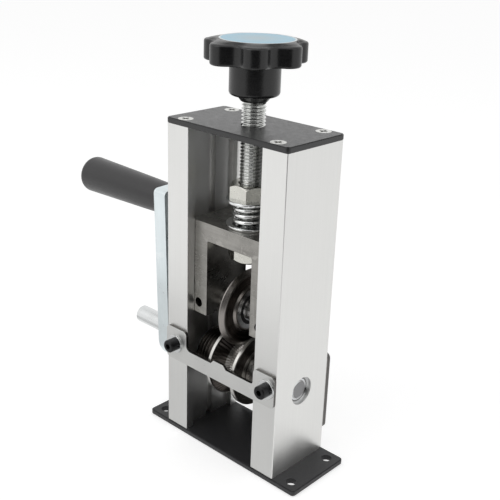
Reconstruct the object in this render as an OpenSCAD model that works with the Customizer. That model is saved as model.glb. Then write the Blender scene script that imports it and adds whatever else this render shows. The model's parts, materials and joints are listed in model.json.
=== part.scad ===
// Hand crank wire stripper: a spring loaded cutting wheel in a sliding yoke
// presses the wire into a toothed feed roller, which the crank turns.
// The origin is the centre of the base plate's underside, +Z is up,
// the wire goes in at the front (-Y) and the crank is on the left (-X).

/* [Frame] */
// Outer width over the two uprights
frame_w = 78.5; // [70:0.5:96]
// Depth of the uprights and of both plates
frame_d = 40; // [38:1:52]
// Width of one upright
upright_w = 15; // [13.5:0.5:18]
// Height of the uprights
upright_h = 170.5; // [165:0.5:200]
// Width of the guide channel in each upright
channel_w = 30; // [28:0.5:30.5]
// Depth of the guide channel
channel_depth = 3; // [2:0.25:4]
// Width of the relief groove in the channel floor
groove_w = 4.2; // [2:0.2:6]
// Depth of the relief groove below the channel floor
groove_depth = 3; // [1:0.5:4]
// Chamfer on the upright's outer long edges
upright_chamfer = 0.3; // [0.2:0.1:1.2]

/* [Plates] */
// Thickness of the base plate
base_t = 3; // [2.5:0.5:6]
// Reach of the base plate beyond each upright
base_foot = 14.75; // [12:0.25:30]
// Overhang of the base plate in front of and behind the uprights
base_overhang = 0.5; // [0:0.1:1]
// Corner radius of the base plate
base_corner_r = 2; // [1:0.5:4.5]
// Diameter of the bench mounting holes
mount_hole_d = 5.5; // [3:0.5:6]
// Distance of the mounting holes from the base plate's ends
mount_inset_x = 6.5; // [5:0.1:8]
// Distance of the mounting holes from the base plate's long sides
mount_inset_y = 6.1; // [5:0.1:10]
// Thickness of the top plate
top_t = 3; // [2:0.5:6]
// Overhang of the top plate beyond the uprights, on each side
top_overhang = 0.5; // [0:0.1:1]
// Corner radius of the top plate
top_corner_r = 2; // [1:0.5:3.5]
// Chamfer on the plates' outer edges
plate_chamfer = 0.4; // [0.1:0.1:0.8]

/* [Frame screws] */
// Thread diameter of the frame screws
frame_screw_d = 4; // [3:0.5:5]
// Head diameter of the countersunk frame screws
frame_head_d = 7.8; // [6.5:0.1:8.5]
// Length of the cross recess in a frame screw's head
recess_l = 4.4; // [3:0.1:4.6]
// Width of the slots of the cross recess
recess_w = 1.1; // [0.8:0.1:1.4]
// Depth of the cross recess
recess_h = 1.3; // [0.8:0.1:1.5]
// Length of the frame screws
frame_screw_l = 14; // [8:1:25]
// Distance of the frame screws from the upright's outer face
frame_screw_x = 9.2; // [7:0.1:9.5]
// Distance of the frame screws from the upright's front and rear faces
frame_screw_y = 3.8; // [3.4:0.1:4.2]

/* [Lift screw] */
// Thread diameter of the lift screw
rod_d = 12; // [10:0.5:13]
// Thread pitch of the lift screw
rod_pitch = 1.75; // [1:0.05:2]
// Depth of the thread
thread_depth = 1; // [0.5:0.05:1.2]
// Length of rod between the top plate and the knob at rest
rod_exposed = 11.5; // [4:0.5:20]
// Length of rod that stands below the lower nut
rod_tail = 2.4; // [1:0.1:3]
// Width across flats of the two nuts
nut_af = 19; // [17:0.5:21]
// Height of the upper nut
upper_nut_h = 7.7; // [6:0.1:12]
// Height of the lower jam nut
lower_nut_h = 8; // [5:0.5:9]
// Diameter of the washer above the spring
upper_seat_d = 24.8; // [22:0.2:26]
// Diameter of the washer below the spring
lower_seat_d = 24.4; // [22:0.2:26]
// Thickness of the washer above the spring
upper_seat_t = 1.7; // [1:0.1:3]
// Thickness of the washer below the spring
lower_seat_t = 1.4; // [1:0.1:2.5]

/* [Spring] */
// Outer diameter of the spring
spring_d = 18.4; // [16:0.2:20]
// Wire diameter of the spring
wire_d = 1.9; // [1.2:0.1:2]
// Length of the spring as fitted
spring_l = 11.2; // [10.8:0.1:16]
// Number of turns in the spring
spring_turns = 3; // [2:0.5:3]

/* [Yoke] */
// Clearance between the wheel and the end of the lift screw above it
wheel_headroom = 4.4; // [3:0.1:8]
// Thickness of the yoke's top bar
yoke_bar_t = 9.5; // [7:0.5:12]
// Width of the window between the yoke's legs
yoke_window_w = 30.6; // [26:0.2:34]
// Distance from the yoke's lower end to the wheel's axle
yoke_below_axle = 6; // [5.5:0.1:9]
// Running clearance of the yoke in the uprights, on each side
slide_gap = 0.2; // [0.1:0.05:0.4]
// Clearance hole for the lift screw in the yoke
yoke_rod_hole_d = 12.4; // [12.2:0.1:14]
// Corner radius at the top of the yoke's window
yoke_fillet_r = 1; // [0.5:0.1:2]

/* [Cutting wheel] */
// Diameter of the cutting wheel
cutter_d = 42; // [38:0.5:44]
// Thickness of the cutting wheel's disc
cutter_t = 4.4; // [3:0.2:6]
// Radial depth of the wheel's two bevels
bevel_depth = 2.8; // [1.5:0.1:4]
// Width left flat at the cutting edge
edge_flat = 0.5; // [0.2:0.1:1]
// Thickness of the wheel's boss round its bearing, where it leaves the disc
boss_wall = 1.8; // [1.6:0.1:3]
// Draft that narrows the boss towards its end
boss_draft = 0.9; // [0.2:0.1:1.2]
// Diameter of the wheel's axle
axle_d = 8; // [7:0.5:8]
// Outer diameter of the axle's spacer sleeves
spacer_d = 11.6; // [10.5:0.2:12.4]
// Gap between the wheel's edge and the root of the feed roller's groove
tip_gap = 1.5; // [1.2:0.1:3]

/* [Feed roller] */
// Clearance between the feed roller and the guides in front of and behind it
roller_gap = 0.3; // [0.2:0.1:1]
// Half width of the roller's V groove
groove_half = 7.5; // [6:0.1:9]
// Width of the land on each side of the groove
land_w = 2.1; // [1.5:0.1:3]
// Radius at the root of the groove
root_r = 11.2; // [11:0.1:14]
// Half width of the flat at the root of the groove
root_half = 1.2; // [0.8:0.1:2]
// Number of teeth round each side of the groove
tooth_count = 54; // [36:1:60]
// Depth of the teeth
tooth_depth = 0.9; // [0.4:0.1:1.2]
// Diameter of the roller's grooved hub
hub_d = 27; // [24:0.5:30]
// Number of ring grooves in the hub
hub_rings = 4; // [2:1:4]
// Spacing of the ring grooves
hub_ring_pitch = 2; // [1.6:0.1:2.2]
// Depth of the ring grooves
hub_ring_depth = 0.7; // [0.3:0.1:1]

/* [Drive shaft] */
// Height of the drive shaft above the bench
shaft_z = 46.5; // [45:0.5:52]
// Diameter of the drive shaft and of its drill end
shaft_d = 10; // [9:0.5:10]
// Length of the shaft that stands out of the right bearing
shaft_proud = 0.5; // [0:0.1:1]
// Length of the shaft that stands out beyond the crank arm
stub_l = 31; // [20:1:40]
// Chamfer at the ends of the shaft
shaft_chamfer = 1; // [0.5:0.1:1.5]
// Width of the relief groove between the drill end and the crank arm
relief_w = 1; // [0.5:0.1:1.5]
// Depth of the relief groove
relief_depth = 0.3; // [0.2:0.1:0.5]
// Outer diameter of the sleeve between the roller and the right bearing
roller_sleeve_d = 20; // [16:0.5:22]
// Outer diameter of the sleeve between the crank arm and the left bearing
arm_sleeve_d = 14.4; // [13.6:0.2:15.6]
// Gap between the crank arm and the left upright
arm_gap = 6.25; // [4:0.25:10]
// End play of the roller between the uprights, on each side
end_play = 0.3; // [0.2:0.1:0.5]

/* [Crank] */
// Width of the crank arm
arm_w = 28; // [22:1:30]
// Thickness of the crank arm
arm_t = 8.5; // [6:0.5:10]
// Distance from the drive shaft to the grip's bolt
crank_r = 78.5; // [60:0.5:95]
// Length of the crank arm beyond the grip's bolt
arm_over = 10.5; // [9:0.5:14]
// Corner radius at the crank arm's upper end
arm_corner_r = 2.5; // [1:0.5:5]
// Forward lean of the crank arm at rest, in degrees
crank_lean = 1.7; // [-10:0.1:10]
// Length of the grip
grip_l = 70; // [50:1:90]
// Diameter of the grip next to the arm
grip_d_near = 16.8; // [15.5:0.1:19]
// Diameter of the grip at its outer end
grip_d_far = 20.6; // [19:0.1:24]
// Radius round the grip's outer edge
grip_round_r = 3.2; // [1:0.1:3.2]
// Thread diameter of the grip's bolt
grip_bolt_d = 6; // [5:0.5:7]
// Head diameter of the grip's bolt
grip_head_d = 10; // [8:0.5:11]
// Head height of the grip's bolt
grip_head_h = 6; // [4:0.5:7]
// Depth of the bolt head below the grip's outer end
grip_head_inset = 2; // [1:0.5:4]
// Thickness of the washer between the grip and the arm
grip_washer_t = 1; // [0.5:0.1:2]

/* [Knob] */
// Diameter over the knob's lobes
knob_d = 50; // [48:0.5:54]
// Number of lobes
knob_lobes = 7; // [6:1:7]
// Radius of each lobe
lobe_r = 6.5; // [6:0.1:7]
// Depth of the valleys between the lobes
valley_depth = 4.6; // [3:0.1:6]
// Height of the lobed rim
knob_rim_h = 9.8; // [8:0.2:14]
// Edge rounding of the lobed rim
knob_round = 1.2; // [0.8:0.1:1.6]
// Rise of the knob's top face above the lobes
knob_rise = 1.2; // [0.4:0.1:1.6]
// Diameter of the knob's hub
knob_hub_d = 24.6; // [22:0.2:28]
// Height of the hub below the lobed rim
knob_hub_h = 15.4; // [12:0.2:20]
// Radius round the hub's lower edge
knob_hub_round = 2; // [1:0.5:4]
// Diameter of the conical collar at its lower end
knob_collar_d = 13.4; // [13.2:0.1:16]
// Diameter of the collar where it meets the hub
knob_neck_d = 17.2; // [16:0.2:19]
// Height of the collar below the hub
knob_collar_h = 2.8; // [1:0.1:4]
// Diameter of the brass insert in the knob
insert_d = 16; // [15:0.5:18]
// Length of the brass insert
insert_l = 17; // [12:0.5:19]
// Thickness of the knob's floor below the insert
insert_floor = 2; // [1:0.1:4]
// Distance from the round label to the bottoms of the valleys
label_margin = 2.1; // [2:0.1:5]
// Thickness of the label
label_t = 0.4; // [0.2:0.1:0.8]
// Distance of the label's centre from the knob's axis, towards one of the lobes
label_shift = 0.8; // [0:0.1:0.8]

/* [Front guide] */
// Thickness of the front guide
guide_t = 1.5; // [1:0.1:2.5]
// Inset of the front guide's left edge from the left upright's outer face
guide_inset_left = 0.7; // [0:0.1:2]
// Inset of the front guide's right edge from the right upright's outer face
guide_inset_right = 0.1; // [0:0.1:2]
// Height of the guide's lower edge above the bench
guide_z = 44.5; // [40:0.5:50]
// Height of the guide's cross bar
guide_bar_h = 8.5; // [7:0.5:10]
// Width of the guide's left ear
guide_left_ear_w = 15.2; // [13:0.1:17]
// Width of the guide's right ear
guide_right_ear_w = 14.2; // [13:0.1:17]
// Height of the guide's left ear
guide_left_ear_h = 19; // [17:0.5:24]
// Height of the guide's right ear
guide_right_ear_h = 17.5; // [17:0.5:24]
// Radius of the guide's corners
guide_corner_r = 2.5; // [1:0.5:4]
// Radius where the left ear meets the cross bar
guide_left_fillet_r = 3; // [1:0.5:5]
// Radius where the right ear meets the cross bar
guide_right_fillet_r = 1.5; // [1:0.5:5]
// Height of the guide's screws above its lower edge
guide_screw_z = 9.5; // [8:0.5:11]
// Distance of the guide's left screw from the left upright's outer face
guide_screw_left = 7.4; // [5:0.1:8]
// Distance of the guide's right screw from the right upright's outer face
guide_screw_right = 5.3; // [5:0.1:8]
// Width of the wire lip where it leaves the cross bar
lip_w = 10.9; // [8:0.1:12]
// Width of the lip along its upper edge
lip_top_w = 6.8; // [4:0.1:8]
// Rise of the lip above the cross bar
lip_rise = 2.2; // [1:0.1:3]
// Distance of the lip's middle to the right of the frame's middle
lip_shift = 0.7; // [-2:0.1:2]

/* [Guide screws] */
// Thread diameter of the guide screws
guide_screw_d = 4; // [3:0.5:5]
// Head diameter of the guide screws
guide_head_d = 7; // [6:0.1:8]
// Head height of the guide screws
guide_head_h = 3.8; // [3:0.1:5]
// Length of the guide screws below their heads
guide_screw_l = 12; // [8:0.5:14]
// Diameter of the flat washers
washer_d = 10.4; // [8.5:0.1:11]
// Thickness of the flat washers
washer_t = 0.8; // [0.5:0.1:1.2]
// Thickness of the split lock washers
lock_washer_t = 0.8; // [0.6:0.1:1.4]
// Width of the split in a lock washer
lock_split = 0.7; // [0.4:0.1:1]
// Width across flats of the screws' hexagon sockets
socket_af = 3; // [2.5:0.1:3.5]

/* [Rear guide] */
// Thickness of the rear guide plate
rear_t = 2.5; // [1:0.1:3]
// Height of the rear guide plate
rear_h = 45; // [30:1:48]
// Height of the rear guide's upper edge above the bench
rear_top_z = 59.5; // [55:0.5:64]
// Radius of the rear guide's corners
rear_corner_r = 3; // [1:0.5:5]
// Head diameter of the rear guide's button screws
button_d = 7.6; // [6.5:0.1:8.5]
// Head height of the rear guide's button screws
button_h = 2.2; // [1.5:0.1:3]
// Distance of the rear screws from the plate's upper and lower edges
rear_screw_inset = 8; // [6:0.5:10]

/* [Set screws] */
// Diameter of the set screws
set_screw_d = 5; // [4:0.5:5]
// Length of the yoke's two set screws
yoke_set_l = 6; // [4:0.5:7]
// Depth of the roller's set screw below the hub's surface
set_screw_inset = 0.5; // [0.2:0.1:1]

/* [Bearings] */
// Outer diameter of the shaft's left bearing
left_bearing_d = 19; // [18:0.5:20]
// Outer diameter of the shaft's right bearing
right_bearing_d = 15; // [14.5:0.5:17]
// Width of the shaft's left bearing
left_bearing_w = 5; // [4:0.5:6]
// Width of the shaft's right bearing
right_bearing_w = 4; // [3:0.5:5]
// Ball diameter of the shaft's left bearing
left_ball_d = 2.4; // [2:0.1:2.6]
// Ball diameter of the shaft's right bearing
right_ball_d = 1.6; // [1.4:0.1:1.7]
// Depth of the right bearing below the upright's outer face
right_recess = 2.2; // [1:0.1:2.5]
// Depth of the left bearing below the upright's outer face
left_recess = 0.5; // [0.2:0.1:1]
// Outer diameter of the wheel's bearing
wheel_bearing_d = 22; // [21:0.5:22.5]
// Width of the wheel's bearing
wheel_bearing_w = 7; // [6.5:0.5:8]
// Ball diameter of the wheel's bearing
wheel_ball_d = 4; // [3.4:0.1:4]
// Thickness of the bearing shields
shield_t = 0.4; // [0.2:0.1:0.5]

/* [Hidden] */
$fn = 64;
// Overrun of every cut beyond the surface that it opens
cut = 1;
// Radial gap between a screw or pin and its hole
fit_gap = 0.05;
// Gap between balls and races, and between sleeves and shafts
race_gap = 0.04;
// Gap between a bearing shield and the inner ring, and round a turning shoulder
shield_gap = 0.25;
// Size of the small chamfers on turned edges
edge_break = 0.5;
// Half of a ball's share of the race, as a share of the ball's diameter
ball_share = 0.62;
// Start, root and end of each ring groove in the hub, as shares of their spacing
ring_shares = [0.25, 0.5, 0.75];
// Share of the grip's length over which it tapers, and of the taper left at its end
taper_shares = [0.75, 0.33];

// Places that follow from the frame
half_w = frame_w / 2;
half_gap = half_w - upright_w;
floor_x = half_gap + channel_depth;
front_y = frame_d / 2;
base_l = frame_w + 2 * base_foot;
upright_top = base_t + upright_h;
top_z = upright_top + top_t;
screw_x = half_w - frame_screw_x;
screw_y = front_y - frame_screw_y;
mid_x = half_w - upright_w / 2;
guide_left_x = -half_w + guide_inset_left;
guide_right_x = half_w - guide_inset_right;
guide_screw_xs = [-half_w + guide_screw_left, half_w - guide_screw_right];

// Heights of the sliding group at rest
wheel_z = shaft_z + root_r + tip_gap + cutter_d / 2;
yoke_z = wheel_z - yoke_below_axle;
rod_z = wheel_z + cutter_d / 2 + wheel_headroom;
lower_nut_z = rod_z + rod_tail;
window_top = lower_nut_z + lower_nut_h;
yoke_top = window_top + yoke_bar_t;
yoke_h = yoke_top - yoke_z;
spring_z = yoke_top + lower_seat_t;
seat_z = spring_z + spring_l;
nut_z = seat_z + upper_seat_t;
knob_z = top_z + rod_exposed;
rim_z = knob_z + knob_collar_h + knob_hub_h;
rim_top = rim_z + knob_rim_h;
knob_top = rim_top + knob_rise;
insert_z = knob_z + knob_collar_h + insert_floor;
rod_top = insert_z + insert_l;
yoke_half_w = floor_x - slide_gap;
yoke_half_d = channel_w / 2 - slide_gap;
leg_in = yoke_window_w / 2;
yoke_set_x = (leg_in + yoke_half_w) / 2;

// Places along the drive shaft
roller_half = groove_half + land_w;
roller_d = frame_d - 2 * roller_gap;
left_bearing_x = -half_w + left_recess;
right_bearing_x = half_w - right_recess - right_bearing_w;
arm_in_x = -half_w - arm_gap;
arm_out_x = arm_in_x - arm_t;
stub_x = arm_out_x - stub_l;
shaft_end_x = half_w - right_recess + shaft_proud;
hub_end_x = -half_gap + end_play;
hub_mid_x = (hub_end_x + hub_rings * hub_ring_pitch - roller_half) / 2;
washer_x = arm_out_x - grip_washer_t;
grip_x = washer_x - grip_l;

// Lays a solid made along +Z down along +X
module along_x() {
    rotate([0, 90, 0]) children();
}

// Turns a solid made along +Z so that it points forwards, along -Y
module facing_front() {
    rotate([90, 0, 0]) children();
}

// Turns a solid made along +Z so that it points backwards, along +Y
module facing_back() {
    rotate([-90, 0, 0]) children();
}

// Places its children on the drive shaft's axis with the crank's lean
module on_crank() {
    translate([0, 0, shaft_z]) rotate([crank_lean, 0, 0]) children();
}

// A rectangle with round corners, centred on the origin
module round_rect(l, w, r) {
    square([l - 2 * r, w], center = true);
    square([l, w - 2 * r], center = true);
    for (x = [-1, 1], y = [-1, 1])
        translate([x * (l / 2 - r), y * (w / 2 - r)]) circle(r = r);
}

// A tube along +Z
module tube(d, bore, h) {
    difference() {
        cylinder(d = d, h = h);
        translate([0, 0, -cut]) cylinder(d = bore, h = h + 2 * cut);
    }
}

// A washer or nut blank whose rim is chamfered at both ends
module chamfered_disc(r, h, chamfer) {
    rotate_extrude()
        polygon([
            [0, 0], [r - chamfer, 0], [r, chamfer], [r, h - chamfer],
            [r - chamfer, h], [0, h]
        ]);
}

// A hexagon nut that stands on z = 0, with the corners of its upper end chamfered
module hex_nut(af, h, bore) {
    corner_r = af / sqrt(3);
    outer_r = corner_r + cut;
    difference() {
        intersection() {
            cylinder(r = corner_r, h = h, $fn = 6);
            rotate_extrude()
                polygon([
                    [0, 0], [outer_r, 0], [outer_r, h - outer_r + af / 2], [af / 2, h], [0, h]
                ]);
        }
        translate([0, 0, -cut]) cylinder(d = bore, h = h + 2 * cut);
        translate([0, 0, h - thread_depth / 2])
            cylinder(d1 = bore, d2 = bore + thread_depth, h = thread_depth / 2);
    }
}

// A cap screw with a hexagon socket: the head stands on z = 0, the shank goes down
module cap_screw(d, head_d, head_h, l, socket) {
    chamfer = head_d / 16;
    difference() {
        union() {
            rotate_extrude()
                polygon([
                    [0, 0], [head_d / 2, 0], [head_d / 2, head_h - chamfer],
                    [head_d / 2 - chamfer, head_h], [0, head_h]
                ]);
            translate([0, 0, -l]) cylinder(d = d - 2 * fit_gap, h = l);
        }
        translate([0, 0, head_h / 2])
            cylinder(d = socket * 2 / sqrt(3), h = head_h, $fn = 6);
    }
}

// A countersunk screw: its flat face is at z = 0 and its shank goes down
module countersunk_screw(d, head_d, l) {
    r = d / 2 - fit_gap;
    head_r = head_d / 2 - fit_gap;
    rim = head_d / 20;
    difference() {
        rotate_extrude()
            polygon([
                [0, 0], [head_r, 0], [head_r, -rim], [r, -rim - head_r + r], [r, -l], [0, -l]
            ]);
        for (a = [0, 90])
            rotate([0, 0, a]) translate([-recess_l / 2, -recess_w / 2, -recess_h])
                cube([recess_l, recess_w, head_r]);
    }
}

// The hole that a countersunk screw leaves in a plate of thickness t
module countersunk_hole(d, head_d, t) {
    rim = head_d / 20;
    translate([0, 0, -t - cut]) cylinder(d = d, h = t + 2 * cut);
    translate([0, 0, -rim]) cylinder(d = head_d, h = rim + cut);
    translate([0, 0, -rim - (head_d - d) / 2])
        cylinder(d1 = d, d2 = head_d, h = (head_d - d) / 2);
}

// A set screw with a hexagon socket, standing on z = 0 with its socket up
module set_screw(l) {
    r = set_screw_d / 2 - fit_gap;
    difference() {
        chamfered_disc(r, l, r / 6);
        translate([0, 0, l / 2]) cylinder(d = set_screw_d / 2, h = l, $fn = 6);
    }
}

// A flat washer on z = 0
module flat_washer(d, bore, t) {
    difference() {
        chamfered_disc(d / 2, t, t / 5);
        translate([0, 0, -cut]) cylinder(d = bore, h = t + 2 * cut);
    }
}

// A plate with chamfered upper and lower edges, standing on z = 0
module chamfered_plate(l, w, t, r) {
    translate([0, 0, plate_chamfer])
        linear_extrude(t - 2 * plate_chamfer) round_rect(l, w, r);
    linear_extrude(t)
        round_rect(l - 2 * plate_chamfer, w - 2 * plate_chamfer, r - plate_chamfer);
}

module base_plate() {
    mount_x = base_l / 2 - mount_inset_x;
    mount_y = front_y + base_overhang - mount_inset_y;
    color("#2b2b2d")
        difference() {
            chamfered_plate(base_l, frame_d + 2 * base_overhang, base_t, base_corner_r);
            for (x = [-1, 1], y = [-1, 1]) {
                translate([x * mount_x, y * mount_y, -cut])
                    cylinder(d = mount_hole_d, h = base_t + 2 * cut);
                translate([x * screw_x, y * screw_y, 0]) mirror([0, 0, 1])
                    countersunk_hole(frame_screw_d, frame_head_d, base_t);
            }
        }
}

// Cross section of the left upright, with its outer face on x = 0
module upright_section() {
    c = upright_chamfer;
    y0 = front_y;
    y1 = channel_w / 2;
    y2 = groove_w / 2;
    x1 = upright_w;
    x2 = upright_w - channel_depth;
    x3 = x2 - groove_depth;
    polygon([
        [0, -y0 + c], [c, -y0], [x1 - c / 2, -y0], [x1, -y0 + c / 2],
        [x1, -y1], [x2, -y1], [x2, -y2], [x3, -y2],
        [x3, y2], [x2, y2], [x2, y1], [x1, y1],
        [x1, y0 - c / 2], [x1 - c / 2, y0], [c, y0], [0, y0 - c]
    ]);
}

// The upright's body with its screw holes, in the place of the left one
module upright_blank(guide_screw_x) {
    hole_l = guide_screw_l - guide_t - washer_t;
    difference() {
        translate([-half_w, 0, base_t]) linear_extrude(upright_h) upright_section();
        for (y = [-1, 1]) {
            translate([-screw_x, y * screw_y, upright_top - frame_screw_l])
                cylinder(d = frame_screw_d, h = frame_screw_l + cut);
            translate([-screw_x, y * screw_y, base_t - cut])
                cylinder(d = frame_screw_d, h = frame_screw_l + cut);
        }
        translate([guide_screw_x, -front_y - cut, guide_z + guide_screw_z])
            facing_back() cylinder(d = guide_screw_d, h = hole_l + cut);
        for (z = [rear_screw_inset, rear_h - rear_screw_inset])
            translate([-mid_x, front_y + cut, rear_top_z - rear_h + z])
                facing_front() cylinder(d = guide_screw_d, h = hole_l + cut);
    }
}

module left_upright() {
    color("#d8d8d6")
        difference() {
            upright_blank(guide_screw_xs[0]);
            translate([-half_w - cut, 0, shaft_z]) along_x()
                cylinder(d = left_bearing_d, h = left_recess + left_bearing_w + cut);
            translate([-half_w, 0, shaft_z]) along_x()
                cylinder(d = shoulder_d(left_bearing_d, shaft_d, left_ball_d), h = upright_w + cut);
        }
}

module right_upright() {
    color("#d8d8d6")
        difference() {
            mirror([1, 0, 0]) upright_blank(-guide_screw_xs[1]);
            translate([right_bearing_x, 0, shaft_z]) along_x()
                cylinder(d = right_bearing_d, h = right_bearing_w + right_recess + cut);
            translate([half_gap - cut, 0, shaft_z]) along_x()
                cylinder(d = shoulder_d(right_bearing_d, shaft_d, right_ball_d), h = upright_w);
        }
}

module top_plate() {
    color("#3a3a3c")
        translate([0, 0, upright_top])
            difference() {
                chamfered_plate(frame_w + 2 * top_overhang, frame_d + 2 * top_overhang, top_t, top_corner_r);
                translate([0, 0, -cut])
                    cylinder(d = rod_d + 2 * fit_gap, h = top_t + 2 * cut);
                for (x = [-1, 1], y = [-1, 1])
                    translate([x * screw_x, y * screw_y, top_t])
                        countersunk_hole(frame_screw_d, frame_head_d, top_t);
            }
}

module top_screws() {
    color("#c9c9c6")
        for (x = [-1, 1], y = [-1, 1])
            translate([x * screw_x, y * screw_y, top_z])
                countersunk_screw(frame_screw_d, frame_head_d, frame_screw_l);
}

module base_screws() {
    color("#c9c9c6")
        for (x = [-1, 1], y = [-1, 1])
            translate([x * screw_x, y * screw_y, 0]) mirror([0, 0, 1])
                countersunk_screw(frame_screw_d, frame_head_d, frame_screw_l);
}

// The material that a fillet adds in the corner at the origin, between +x and +y
module inner_fillet(r) {
    difference() {
        translate([-r, -r]) square(2 * r);
        translate([r, r]) circle(r = r);
    }
}

// Outline of the front guide in its own plane, x to the right and y up from its lower edge
module guide_outline() {
    r = guide_corner_r;
    left_end = guide_left_x + guide_left_ear_w;
    right_end = guide_right_x - guide_right_ear_w;
    difference() {
        union() {
            translate([guide_left_x + guide_left_ear_w / 2, guide_left_ear_h / 2])
                round_rect(guide_left_ear_w, guide_left_ear_h, r);
            translate([guide_right_x - guide_right_ear_w / 2, guide_right_ear_h / 2])
                round_rect(guide_right_ear_w, guide_right_ear_h, r);
            translate([guide_left_x + r, 0])
                square([guide_right_x - guide_left_x - 2 * r, guide_bar_h]);
            translate([left_end, guide_bar_h]) inner_fillet(guide_left_fillet_r);
            translate([right_end, guide_bar_h]) mirror([1, 0, 0])
                inner_fillet(guide_right_fillet_r);
            translate([lip_shift, guide_bar_h])
                polygon([
                    [-lip_w / 2, -guide_bar_h / 2], [lip_w / 2, -guide_bar_h / 2], [lip_w / 2, 0],
                    [lip_top_w / 2, lip_rise], [-lip_top_w / 2, lip_rise], [-lip_w / 2, 0]
                ]);
        }
        for (x = guide_screw_xs)
            translate([x, guide_screw_z])
                circle(d = guide_screw_d + 4 * fit_gap);
    }
}

module front_guide() {
    color("#cfd0ce")
        translate([0, -front_y, guide_z])
            facing_front() linear_extrude(guide_t) guide_outline();
}

// Places its children on the front guide's two screw axes, facing forwards
module at_guide_screws(lift) {
    for (x = guide_screw_xs)
        translate([x, -front_y - guide_t - lift, guide_z + guide_screw_z])
            facing_front() children();
}

module guide_screws() {
    color("#1d1d1f")
        at_guide_screws(washer_t + lock_washer_t)
            cap_screw(guide_screw_d, guide_head_d, guide_head_h, guide_screw_l, socket_af);
}

module guide_lock_washers() {
    color("#3c3c3e")
        at_guide_screws(washer_t)
            difference() {
                tube(guide_head_d, guide_screw_d + 2 * fit_gap, lock_washer_t);
                translate([0, -lock_split / 2, -cut])
                    cube([guide_head_d, lock_split, lock_washer_t + 2 * cut]);
            }
}

module guide_washers() {
    color("#c8c9c8")
        at_guide_screws(0)
            flat_washer(washer_d, guide_screw_d + 2 * fit_gap, washer_t);
}

module rear_guide() {
    color("#cfd0ce")
        translate([0, front_y, rear_top_z - rear_h / 2])
            facing_back()
                difference() {
                    linear_extrude(rear_t) round_rect(frame_w, rear_h, rear_corner_r);
                    for (x = [-1, 1], y = [-1, 1])
                        translate([x * mid_x, y * (rear_h / 2 - rear_screw_inset), -cut])
                            cylinder(d = guide_screw_d + 4 * fit_gap, h = rear_t + 2 * cut);
                }
}

module rear_guide_screws() {
    color("#1d1d1f")
        for (x = [-1, 1], z = [rear_screw_inset, rear_h - rear_screw_inset])
            translate([x * mid_x, front_y + rear_t, rear_top_z - rear_h + z])
                facing_back()
                    cap_screw(guide_screw_d, button_d, button_h, guide_screw_l - rear_t, socket_af);
}

// Radius of the circle that a bearing's ball centres lie on
function pitch_r(d, bore) = (d + bore) / 4;

// Outer diameter of a bearing's inner ring
function inner_land_d(d, bore, ball_d) = 2 * pitch_r(d, bore) - ball_d / 2;

// Hole through an upright behind a shaft bearing, clear of the ring that turns
function shoulder_d(d, bore, ball_d) = inner_land_d(d, bore, ball_d) + 2 * shield_gap;

// The outer ring of a ball bearing from z = 0 up
module outer_ring(d, bore, w, ball_d) {
    p = pitch_r(d, bore);
    difference() {
        tube(d, 2 * p + ball_d / 2, w);
        translate([0, 0, w / 2])
            rotate_extrude() translate([p, 0]) circle(r = ball_d / 2 + race_gap);
    }
}

// The inner ring of a ball bearing from z = 0 up
module inner_ring(d, bore, w, ball_d) {
    p = pitch_r(d, bore);
    difference() {
        tube(inner_land_d(d, bore, ball_d), bore, w);
        translate([0, 0, w / 2])
            rotate_extrude() translate([p, 0]) circle(r = ball_d / 2 + race_gap);
    }
}

// The balls of a bearing, spaced evenly
module balls(d, bore, w, ball_d) {
    p = pitch_r(d, bore);
    count = floor(180 / asin(ball_share * ball_d / p));
    for (i = [0 : count - 1])
        rotate([0, 0, i * 360 / count]) translate([p, 0, w / 2]) sphere(d = ball_d);
}

// The two shields of a bearing, flush with its outer ring's faces less their own thickness
module shields(d, bore, w, ball_d) {
    p = pitch_r(d, bore);
    for (z = [shield_t / 2, w - 3 / 2 * shield_t])
        translate([0, 0, z])
            tube(2 * p + ball_d / 2, inner_land_d(d, bore, ball_d) + 2 * shield_gap, shield_t);
}

// Places its children at a bearing on the drive shaft that starts at x
module on_shaft(x) {
    translate([x, 0, shaft_z]) along_x() children();
}

module left_bearing_outer_ring() {
    color("#c4c5c6") on_shaft(left_bearing_x)
        outer_ring(left_bearing_d, shaft_d, left_bearing_w, left_ball_d);
}

module left_bearing_inner_ring() {
    color("#c4c5c6") on_shaft(left_bearing_x)
        inner_ring(left_bearing_d, shaft_d, left_bearing_w, left_ball_d);
}

module left_bearing_balls() {
    color("#dcdcdc") on_shaft(left_bearing_x)
        balls(left_bearing_d, shaft_d, left_bearing_w, left_ball_d);
}

module left_bearing_shields() {
    color("#8e8f90") on_shaft(left_bearing_x)
        shields(left_bearing_d, shaft_d, left_bearing_w, left_ball_d);
}

module right_bearing_outer_ring() {
    color("#c4c5c6") on_shaft(right_bearing_x)
        outer_ring(right_bearing_d, shaft_d, right_bearing_w, right_ball_d);
}

module right_bearing_inner_ring() {
    color("#c4c5c6") on_shaft(right_bearing_x)
        inner_ring(right_bearing_d, shaft_d, right_bearing_w, right_ball_d);
}

module right_bearing_balls() {
    color("#dcdcdc") on_shaft(right_bearing_x)
        balls(right_bearing_d, shaft_d, right_bearing_w, right_ball_d);
}

module right_bearing_shields() {
    color("#8e8f90") on_shaft(right_bearing_x)
        shields(right_bearing_d, shaft_d, right_bearing_w, right_ball_d);
}

module drive_shaft() {
    r = shaft_d / 2;
    c = shaft_chamfer;
    color("#d4d5d6")
        translate([0, 0, shaft_z]) along_x()
            rotate_extrude()
                polygon([
                    [0, stub_x], [r - c, stub_x], [r, stub_x + c],
                    [r, arm_out_x - relief_w], [r - relief_depth, arm_out_x - relief_w],
                    [r - relief_depth, arm_out_x], [r, arm_out_x], [r, shaft_end_x - c / 2],
                    [r - c / 2, shaft_end_x], [0, shaft_end_x]
                ]);
}

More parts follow.
